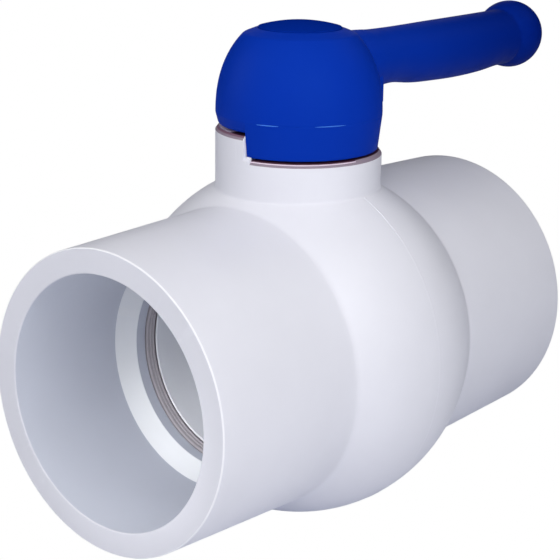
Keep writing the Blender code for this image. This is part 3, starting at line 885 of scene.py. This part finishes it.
def stem_outline():
    """Half outline of the stem, with a groove for each of its two seals."""
    corners = [(0.0, STEM_SHOULDER, 0), (STEM_RADIUS, STEM_SHOULDER, 0.5)]
    for height in STEM_GROOVE_HEIGHTS:
        top = height + STEM_GROOVE_WIDTH / 2
        bottom = height - STEM_GROOVE_WIDTH / 2
        corners += [
            (STEM_RADIUS, top, 0.15),
            (STEM_GROOVE_RADIUS, top, 0.2),
            (STEM_GROOVE_RADIUS, bottom, 0.2),
            (STEM_RADIUS, bottom, 0.15),
        ]
    corners += [
        (STEM_RADIUS, STEM_FLANGE_TOP, 0.2),
        (STEM_FLANGE_RADIUS, STEM_FLANGE_TOP, 0.3),
        (STEM_FLANGE_RADIUS, STEM_FLANGE_BOTTOM, 0.3),
        (0.0, STEM_FLANGE_BOTTOM, 0),
    ]
    return rounded(corners)


def make_stem(looks):
    stem = turned("stem_turned", stem_outline(), SMALL_STEPS, solid=True)
    tang_low = (-TANG_HALF_WIDTH, -TANG_HALF_LENGTH, SLOT_FLOOR + 0.3)
    tang_high = (TANG_HALF_WIDTH, TANG_HALF_LENGTH, STEM_FLANGE_TOP - 0.5)
    combine(stem, block("tang", tang_low, tang_high, 0.4), "UNION")
    reach = DRIVE_HALF_WIDTH
    drive = block("drive", (-reach, -reach, STEM_SHOULDER - 2), (reach, reach, STEM_TOP), 0.5)
    combine(stem, drive, "UNION")
    lead_in = 0.5
    hole = [
        (0.0, STEM_TOP + 1),
        (STEM_HOLE_RADIUS + lead_in, STEM_TOP + 1),
        (STEM_HOLE_RADIUS + lead_in, STEM_TOP),
        (STEM_HOLE_RADIUS, STEM_TOP - lead_in),
        (STEM_HOLE_RADIUS, STEM_HOLE_FLOOR),
        (0.0, STEM_HOLE_FLOOR - 1),
    ]
    combine(stem, turned("hole", hole, SCREW_STEPS, solid=True), "DIFFERENCE")
    finish_piece(stem, "handle_and_stem", looks, "ball_pvc", "stem")


def make_stem_rings(looks):
    """The stem's two seals and the slip ring on its flange."""
    middle = STEM_GROOVE_RADIUS + STEM_GROOVE_WIDTH / 2
    for level, height in zip(("upper", "lower"), STEM_GROOVE_HEIGHTS):
        oring = ring(f"stem_rubber_{level}", middle, height, STEM_WIRE, "Z")
        finish_piece(oring, "handle_and_stem", looks, "rubber", f"stem_oring_{level}")
    inner = STEM_RADIUS + 0.3
    outer = FLANGE_BORE_RADIUS - 0.3
    washer = flat_ring("stem_washer", inner, outer, *node_levels("thrust_washer"))
    finish_piece(washer, "handle_and_stem", looks, "seat", "thrust_washer")


def flat_ring(name, inner, outer, low, high):
    """A flat washer with rounded edges."""
    edge = 0.15
    corners = [(inner, high), (outer, high), (outer, low), (inner, low)]
    return turned(name, rounded([(*corner, edge) for corner in corners]), SMALL_STEPS)


# ---- Handle ----


def crown_height(radius):
    """Height of the hub's crown, which the cap continues."""
    return CROWN_TOP - radius**2 / (2 * CROWN_CURVE)


def cap_height(radius):
    """Height of the cap, which is a little flatter than the crown, so that its edge is proud."""
    return CROWN_TOP - radius**2 / (2 * CAP_CURVE)


def dome_radius(height):
    """Radius of the hub's dome, which is upright at its base and closes in towards the crown."""
    share = max(0.0, (height - DOME_BASE) / DOME_HEIGHT)
    return HUB_RADIUS * math.sqrt(1 - share**DOME_POWER)


def hub_outline():
    """Closed outline of the hub, with the boss, the cavity round it and the recess in its top."""
    top = crown_height(DOME_TOP_RADIUS)
    dome = [(dome_radius(z), z, 0) for z in spaced(top - 1.4, DOME_EDGE_TOP, 40)]
    crown = spaced(CAP_RECESS_RADIUS + 0.35, CAP_RECESS_RADIUS + 1.35, 4)
    return rounded(
        [
            (CAP_RECESS_RADIUS, HUB_RIM, 0.12),
            *[(radius, crown_height(radius), 0) for radius in crown],
            (DOME_TOP_RADIUS, top, 2.4),
            *dome,
            (HUB_RADIUS, DOME_BASE + 0.15, 1.2),
            (SKIRT_RADIUS, SKIRT_BOTTOM, 0.9),
            (HUB_CAVITY_RADIUS, SKIRT_BOTTOM, 0.3),
            (HUB_CAVITY_RADIUS, DOME_BASE, 0),
            (HUB_CAVITY_TOP_RADIUS, HUB_CAVITY_TOP, 0.8),
            (BOSS_RADIUS, HUB_CAVITY_TOP, 0.5),
            (BOSS_RADIUS, SKIRT_BOTTOM, 0),
            (BOSS_TIP_RADIUS, BOSS_BOTTOM, 0.3),
            (SCREW_HOLE_RADIUS, BOSS_BOTTOM, 0),
            (SCREW_HOLE_RADIUS, WEB_TOP, 0.2),
            (HEAD_RECESS_RADIUS, WEB_TOP, 0.3),
            (HEAD_RECESS_RADIUS, CAP_RECESS_FLOOR, 0.2),
            (CAP_RECESS_RADIUS, CAP_RECESS_FLOOR, 0.15),
        ]
    )


def between(stations, x, column):
    """Smooth value of one column of the stations at x, through every station."""
    for i in range(1, len(stations) - 2):
        if x <= stations[i + 1][0]:
            break
    before, low, high, after = stations[i - 1 : i + 3]
    span = high[0] - low[0]
    share = min(1.0, max(0.0, (x - low[0]) / span))
    low_slope = (high[column] - before[column]) / (high[0] - before[0]) * span
    high_slope = (after[column] - low[column]) / (after[0] - low[0]) * span
    a, b = low[column], high[column]
    return (
        a * (2 * share**3 - 3 * share**2 + 1)
        + low_slope * (share**3 - 2 * share**2 + share)
        + b * (3 * share**2 - 2 * share**3)
        + high_slope * (share**3 - share**2)
    )


def lever_section(x):
    """Radius and height of the lever's middle at x."""
    return between(LEVER_STATIONS, x, 1), between(LEVER_STATIONS, x, 2)


def knob_outline():
    """Radius and x of the lever's end, from the concave neck round the knob to its tip."""
    knob_x = LEVER_TIP - KNOB_RADIUS
    neck_radius = lever_section(KNOB_NECK_X)[0]
    reach = KNOB_RADIUS + KNOB_BLEND
    blend_radius = neck_radius + KNOB_BLEND
    blend_x = knob_x - math.sqrt(reach**2 - blend_radius**2)
    meet = math.atan2(knob_x - blend_x, blend_radius)
    points = []
    for turn in spaced(0.0, meet, KNOB_BLEND_ROWS):
        radius = blend_radius - KNOB_BLEND * math.cos(turn)
        points.append((radius, blend_x + KNOB_BLEND * math.sin(turn)))
    for turn in spaced(math.pi / 2 + meet, 0.0, 40)[1:]:
        points.append((KNOB_RADIUS * math.sin(turn), knob_x + KNOB_RADIUS * math.cos(turn)))
    return points


def make_lever():
    """The lever and its knob, with a root that flares onto the dome."""
    root_radius, root_height = lever_section(HUB_RADIUS)
    knob = knob_outline()
    first = HUB_RADIUS + LEVER_FLARE_LENGTH + 0.5
    last = knob[0][1] - 0.6
    rings = []
    angles = [2 * math.pi * i / SMALL_STEPS for i in range(SMALL_STEPS)]

    def circle(x, radius, height):
        return [(x, radius * math.sin(a), height + radius * math.cos(a)) for a in angles]

    def wall_point(radius, angle, out):
        y = radius * math.sin(angle)
        z = root_height + radius * math.cos(angle)
        return (math.sqrt(dome_radius(z) ** 2 - y * y) + out, y, z)

    rings.append(circle(HUB_RADIUS - LEVER_ROOT_DEPTH, root_radius, root_height))
    rings.append([wall_point(root_radius + LEVER_FLARE, a, -2.0) for a in angles])
    for turn in spaced(0.0, math.pi / 2, 12):
        radius = root_radius + LEVER_FLARE * (1 - math.sin(turn))
        out = LEVER_FLARE_LENGTH * (1 - math.cos(turn)) - SINK
        rings.append([wall_point(radius, a, out) for a in angles])
    for x in spaced(first, last, 60):
        rings.append(circle(x, *lever_section(x)))
    end_height = lever_section(last)[1]
    for i, (radius, x) in enumerate(knob[:-1]):
        share = min(1.0, i / KNOB_BLEND_ROWS)
        rings.append(circle(x, radius, end_height + (KNOB_HEIGHT - end_height) * share))
    vertices = [point for points in rings for point in points]
    faces = grid_faces(len(rings), SMALL_STEPS, open_ring=True)
    vertices.append((knob[-1][1], 0.0, KNOB_HEIGHT))
    tip = len(vertices) - 1
    count = len(rings) * SMALL_STEPS
    for k in range(SMALL_STEPS):
        faces.append((count - SMALL_STEPS + k, count - SMALL_STEPS + (k + 1) % SMALL_STEPS, tip))
    faces.append(tuple(range(SMALL_STEPS)))
    return mesh_object("lever", vertices, faces)


def tab_ridge(start, stop):
    """A stretch of the fine bead along the tab's top edge."""
    radius = TAB_TOP_RADIUS - SINK / 2
    wire = TAB_RIDGE_RADIUS
    return bead("tab_ridge", "Z", radius, DOME_BASE, wire, start, stop, TAB_RIDGE_STEPS)


def ridge_highlight_colour(middle, normal):
    """The fine bead along the tab's top edge, painted lighter blue as a highlight."""
    out = math.hypot(middle.x, middle.y) - TAB_TOP_RADIUS
    near_top = abs(middle.z - DOME_BASE) < TAB_RIDGE_RADIUS
    return 0 if near_top and SINK / 2 < out < TAB_RIDGE_RADIUS else None


def stop_tab():
    """The half ring under the hub that runs between the two ends of the raised stop."""
    side = math.degrees(STOP_CLEARANCE / TAB_TOP_RADIUS)
    top = DOME_BASE - TAB_DROP
    lean = (TAB_TOP_RADIUS - TAB_BOTTOM_RADIUS) / (top - TAB_BOTTOM)
    outline = [
        (TAB_INNER_RADIUS, top),
        (TAB_TOP_RADIUS, top),
        (TAB_TOP_RADIUS - lean * TAB_EDGE_ROW, top - TAB_EDGE_ROW),
        (TAB_BOTTOM_RADIUS + lean * TAB_EDGE_ROW, TAB_BOTTOM + TAB_EDGE_ROW),
        (TAB_BOTTOM_RADIUS, TAB_BOTTOM),
        (TAB_INNER_RADIUS, TAB_BOTTOM),
    ]
    return sector("tab", outline, 180 + side, 360 - side, 0.1, steps=120)


def add_ribs(handle):
    """Four ribs in the hub's cavity, between the boss and the wall."""
    for i in range(4):
        low = (BOSS_RADIUS - 1, -RIB_HALF_WIDTH, DOME_BASE)
        rib = block("rib", low, (RIB_END, RIB_HALF_WIDTH, RIB_TOP), 0.15)
        rib.data.transform(Matrix.Rotation(math.pi / 2 * i, 4, "Z"))
        combine(handle, rib, "UNION")


def make_handle(looks):
    handle = turned("handle_shell", hub_outline(), NECK_STEPS)
    combine(handle, make_lever(), "UNION")
    gusset_low = (HUB_RADIUS - GUSSET_ROOT, -GUSSET_HALF_WIDTH, GUSSET_BOTTOM)
    gusset_high = (GUSSET_FRONT, GUSSET_HALF_WIDTH, GUSSET_TOP)
    combine(handle, block("gusset", gusset_low, gusset_high, 0.4, GUSSET_ROUNDING), "UNION")
    combine(handle, stop_tab(), "UNION")
    for start, stop in TAB_RIDGES:
        combine(handle, tab_ridge(start, stop), "UNION")
    add_ribs(handle)
    reach = SOCKET_HALF_WIDTH
    socket = block("socket", (-reach, -reach, BOSS_BOTTOM - 3), (reach, reach, WEB_BOTTOM), 0.3)
    combine(handle, socket, "DIFFERENCE")
    finish_piece(handle, "handle_and_stem", looks, "blue_plastic", "handle")
    tint(handle, [looks["blue_ridge_painted_highlight"]], ridge_highlight_colour)


def make_cap(looks):
    low = node_low("handle_cap").z
    radii = spaced(CAP_EDGE_RADIUS - 0.4, 0.0, 16)
    corners = [
        (0.0, low, 0),
        (CAP_EDGE_RADIUS, low, 0.2),
        (CAP_EDGE_RADIUS, cap_height(CAP_EDGE_RADIUS), 0.15),
        *[(radius, cap_height(radius), 0) for radius in radii],
    ]
    cap = turned("hub_cap", rounded(corners), SMALL_STEPS, solid=True)
    # the cap carries painted shade, darker than the hub
    finish_piece(cap, "handle_and_stem", looks, "blue_cap_painted_shade", "handle_cap")


def screw_profile(angle, low, head_bottom):
    """Half outline of the screw at one angle: domed head, then the thread's rows at that turn."""
    points = []
    for turn in spaced(0.0, math.pi / 2, 12):
        dome_height = (SCREW_HEAD_HEIGHT - SCREW_HEAD_EDGE) * math.cos(turn)
        points.append(
            (SCREW_HEAD_RADIUS * math.sin(turn), head_bottom + SCREW_HEAD_EDGE + dome_height)
        )
    core = SCREW_SHANK_RADIUS - THREAD_DEPTH
    points += [
        (SCREW_HEAD_RADIUS, head_bottom + 0.2),
        (SCREW_HEAD_RADIUS - 0.2, head_bottom),
        (SCREW_SHANK_RADIUS - 0.4, head_bottom),
    ]
    top = head_bottom - THREAD_START
    rows = THREAD_ROWS * math.floor((top - low - THREAD_END) / THREAD_PITCH)
    for k in range(rows + 1):
        height = top - THREAD_PITCH * k / THREAD_ROWS
        phase = (height / THREAD_PITCH + angle / (2 * math.pi)) % 1.0
        crest = max(0.0, 1 - THREAD_SHARPNESS * abs(phase - 0.5))
        fade = min(1.0, k / THREAD_FADE_ROWS, (rows - k) / THREAD_FADE_ROWS)
        points.append((core + THREAD_DEPTH * crest * fade, height))
    return points + [(0.0, low)]


def make_screw(looks):
    low, high = node_levels("handle_screw")
    vertices = []
    for i in range(SCREW_STEPS):
        angle = 2 * math.pi * i / SCREW_STEPS
        points = screw_profile(angle, low, high - SCREW_HEAD_HEIGHT)
        vertices += [on_axis("Z", radius, height, angle) for radius, height in points]
    faces = grid_faces(SCREW_STEPS, len(points), open_outline=True)
    screw = mesh_object("cap_screw", vertices, faces)
    arm = (SCREW_HEAD_RADIUS / 2, DRIVER_HALF_WIDTH)
    for x, y in (arm, arm[::-1]):
        slot = block("driver", (-x, -y, high - SCREW_HEAD_HEIGHT / 2), (x, y, high + 1))
        combine(screw, slot, "DIFFERENCE")
    finish_piece(screw, "handle_and_stem", looks, "steel", "handle_screw")


def make_screw_washer(looks):
    hole = SCREW_SHANK_RADIUS + 0.3
    washer = flat_ring("screw_washer", hole, WASHER_RADIUS, *node_levels("handle_washer"))
    finish_piece(washer, "handle_and_stem", looks, "steel", "handle_washer")


# ---- Materials ----


def make_material(
    name,
    colour,
    roughness,
    grain,
    metallic=0.0,
    specular=0.4,
    gloss_tint=(1.0, 1.0, 1.0),
    worn_and_highlit=None,
    tip=None,
):
    """A plastic or metal: fine grain as bump, uneven gloss, faint mottling; lighter edges, part
    wear, part painted highlight.

    tip is the colour that it darkens to along +X, at the lever's end, as painted shade.
    """
    material = bpy.data.materials.new(name)
    material.use_nodes = True
    nodes = material.node_tree.nodes
    links = material.node_tree.links
    shader = nodes["Principled BSDF"]
    shader.inputs["Metallic"].default_value = metallic
    shader.inputs["Specular IOR Level"].default_value = specular
    shader.inputs["Specular Tint"].default_value = (*gloss_tint, 1.0)
    place = nodes.new("ShaderNodeTexCoord")

    def noise(scale, detail):
        node = nodes.new("ShaderNodeTexNoise")
        node.inputs["Scale"].default_value = scale
        node.inputs["Detail"].default_value = detail
        links.new(place.outputs["Object"], node.inputs["Vector"])
        return node.outputs["Fac"]

    def spread(source, low, high, start=0.3, stop=0.7):
        """Maps start to stop onto low to high, and holds the ends."""
        node = nodes.new("ShaderNodeMapRange")
        node.inputs["From Min"].default_value = start
        node.inputs["From Max"].default_value = stop
        node.inputs["To Min"].default_value = low
        node.inputs["To Max"].default_value = high
        links.new(source, node.inputs["Value"])
        return node.outputs["Result"]

    def math_node(operation, first, second):
        node = nodes.new("ShaderNodeMath")
        node.operation = operation
        links.new(first, node.inputs[0])
        links.new(second, node.inputs[1])
        return node.outputs["Value"]

    def mix(factor, base, other):
        """Blends a socket or colour into another colour."""
        node = nodes.new("ShaderNodeMix")
        node.data_type = "RGBA"
        links.new(factor, node.inputs["Factor"])
        if isinstance(base, bpy.types.NodeSocket):
            links.new(base, node.inputs["A"])
        else:
            node.inputs["A"].default_value = (*base, 1.0)
        node.inputs["B"].default_value = (*other, 1.0)
        return node.outputs["Result"]

    def bump(height, depth, under=None):
        node = nodes.new("ShaderNodeBump")
        node.inputs["Strength"].default_value = grain
        node.inputs["Distance"].default_value = depth * MM
        links.new(height, node.inputs["Height"])
        if under:
            links.new(under, node.inputs["Normal"])
        return node.outputs["Normal"]

    def shade(factor):
        return [min(1.0, c * factor) for c in colour]

    broad = noise(BROAD_NOISE, 3.0)
    middle = noise(MIDDLE_NOISE, 4.0)
    fine = noise(FINE_NOISE, 3.0)
    surface = mix(spread(broad, 0.0, 1.0), shade(1 - MOTTLE), shade(1 + MOTTLE))
    # painted shade, darker towards the lever's end
    if tip:
        along = nodes.new("ShaderNodeSeparateXYZ")
        links.new(place.outputs["Object"], along.inputs["Vector"])
        fade = spread(along.outputs["X"], 0.0, 1.0, TIP_SHADE_START * MM, LEVER_TIP * MM)
        surface = mix(fade, surface, tip)
    # edges lightened, partly as wear and partly as a painted highlight
    edges = nodes.new("ShaderNodeNewGeometry").outputs["Pointiness"]
    rubbed_and_highlit = spread(edges, 0.0, WEAR_AND_HIGHLIGHT, *WEAR_AND_HIGHLIGHT_EDGE)
    patchy = spread(noise(WEAR_AND_HIGHLIGHT_NOISE, 2.0), WEAR_AND_HIGHLIGHT_LEAST, 1.0, *WEAR_AND_HIGHLIGHT_PATCH)
    wear_and_highlight = math_node("MULTIPLY", rubbed_and_highlit, patchy)
    surface = mix(wear_and_highlight, surface, worn_and_highlit or shade(WORN_AND_HIGHLIT_SHADE))
    links.new(surface, shader.inputs["Base Color"])

    gloss = spread(middle, roughness - GLOSS_SPREAD, roughness + GLOSS_SPREAD)
    drift = spread(broad, -GLOSS_DRIFT, GLOSS_DRIFT)
    links.new(math_node("ADD", gloss, drift), shader.inputs["Roughness"])
    ripple = bump(middle, RIPPLE_DEPTH, bump(fine, GRAIN_DEPTH))
    links.new(ripple, shader.inputs["Normal"])
    return material


# ---- Studio ----


def split_by_ray(tree, lighting, seen, output):
    """Shows the camera one shader, and lights the object with another."""
    path = tree.nodes.new("ShaderNodeLightPath")
    mix = tree.nodes.new("ShaderNodeMixShader")
    tree.links.new(path.outputs["Is Camera Ray"], mix.inputs["Fac"])
    tree.links.new(lighting, mix.inputs[1])
    tree.links.new(seen, mix.inputs[2])
    tree.links.new(mix.outputs["Shader"], output)


def make_world():
    world = bpy.data.worlds.new("studio")
    world.use_nodes = True
    tree = world.node_tree
    tree.nodes.clear()
    seen = tree.nodes.new("ShaderNodeBackground")
    seen.inputs["Color"].default_value = (1.0, 1.0, 1.0, 1.0)
    around = tree.nodes.new("ShaderNodeBackground")
    around.inputs["Color"].default_value = (*SHADE_COLOUR, 1.0)
    around.inputs["Strength"].default_value = ROOM_LIGHT
    output = tree.nodes.new("ShaderNodeOutputWorld").inputs["Surface"]
    split_by_ray(tree, around.outputs["Background"], seen.outputs["Background"], output)
    bpy.context.scene.world = world


def make_floor():
    height = node_low("body_main").z
    corners = [(-1, -1), (1, -1), (1, 1), (-1, 1)]
    vertices = [Vector((x * FLOOR_REACH, y * FLOOR_REACH, height)) * MM for x, y in corners]
    mesh = bpy.data.meshes.new("floor")
    mesh.from_pydata(vertices, [], [(0, 1, 2, 3)])
    floor = link("floor", mesh)
    material = bpy.data.materials.new("studio_floor")
    material.use_nodes = True
    tree = material.node_tree
    lit = tree.nodes["Principled BSDF"]
    lit.inputs["Base Color"].default_value = (*FLOOR_COLOUR, 1.0)
    lit.inputs["Roughness"].default_value = 0.8
    lit.inputs["Specular IOR Level"].default_value = 0.0
    lit.inputs["Emission Color"].default_value = (*SHADE_COLOUR, 1.0)
    lit.inputs["Emission Strength"].default_value = FLOOR_GLOW
    seen = tree.nodes.new("ShaderNodeEmission")
    output = tree.nodes["Material Output"].inputs["Surface"]
    split_by_ray(tree, lit.outputs["BSDF"], seen.outputs["Emission"], output)
    mesh.materials.append(material)


def on_sphere(azimuth, elevation, distance):
    """A point round the middle of the object; azimuth 0 is on the -Y side."""
    a = math.radians(azimuth)
    e = math.radians(elevation)
    direction = Vector((math.sin(a) * math.cos(e), -math.cos(a) * math.cos(e), math.sin(e)))
    return direction * distance


def hang_lamp(light, target, azimuth, elevation):
    """Puts a lamp round its target, at an azimuth from the camera's, and points it there."""
    offset = on_sphere(CAMERA_AZIMUTH + azimuth, elevation, LIGHT_DISTANCE)
    lamp = link(light.name, light)
    lamp.location = (target + offset) * MM
    lamp.rotation_euler = (-offset).to_track_quat("-Z", "Y").to_euler()
    return lamp


def add_softbox(name, azimuth, elevation, width, height, power):
    light = bpy.data.lights.new(name, "AREA")
    light.shape = "RECTANGLE"
    light.size = width * MM
    light.size_y = height * MM
    light.energy = power
    hang_lamp(light, Vector((0, 0, 0)), azimuth, elevation).visible_camera = False


def add_bore_light():
    """A narrow soft beam that shines into the near end of the bore."""
    light = bpy.data.lights.new("bore_beam", "SPOT")
    light.energy = BORE_POWER
    light.spot_size = math.radians(BORE_BEAM)
    light.spot_blend = 1.0
    light.shadow_soft_size = BORE_LAMP_RADIUS * MM
    hang_lamp(light, Vector(BORE_TARGET), BORE_AZIMUTH, BORE_ELEVATION)


def make_camera():
    data = bpy.data.cameras.new("camera")
    data.sensor_width = CAMERA_SENSOR
    data.lens = CAMERA_LENS
    data.clip_start = 0.01
    camera = link("camera", data)
    target = Vector(CAMERA_TARGET)
    place = target + on_sphere(CAMERA_AZIMUTH, CAMERA_ELEVATION, CAMERA_DISTANCE)
    look = (target - place).to_track_quat("-Z", "Y").to_matrix()
    roll = Matrix.Rotation(math.radians(CAMERA_ROLL), 3, "Z")
    camera.matrix_world = Matrix.Translation(place * MM) @ (look @ roll).to_4x4()
    bpy.context.scene.camera = camera


def make_object():
    looks = {name: make_material(name, **look) for name, look in LOOKS.items()}
    make_near_half(looks)
    make_far_half(looks)
    make_ball(looks)
    make_seats(looks)
    make_stem(looks)
    make_stem_rings(looks)
    make_handle(looks)
    make_cap(looks)
    make_screw_washer(looks)
    make_screw(looks)


def make_studio():
    bpy.context.scene.view_settings.view_transform = "Standard"
    make_world()
    make_floor()
    for softbox in SOFTBOXES:
        add_softbox(*softbox)
    add_bore_light()
    make_camera()


make_object()
make_studio()
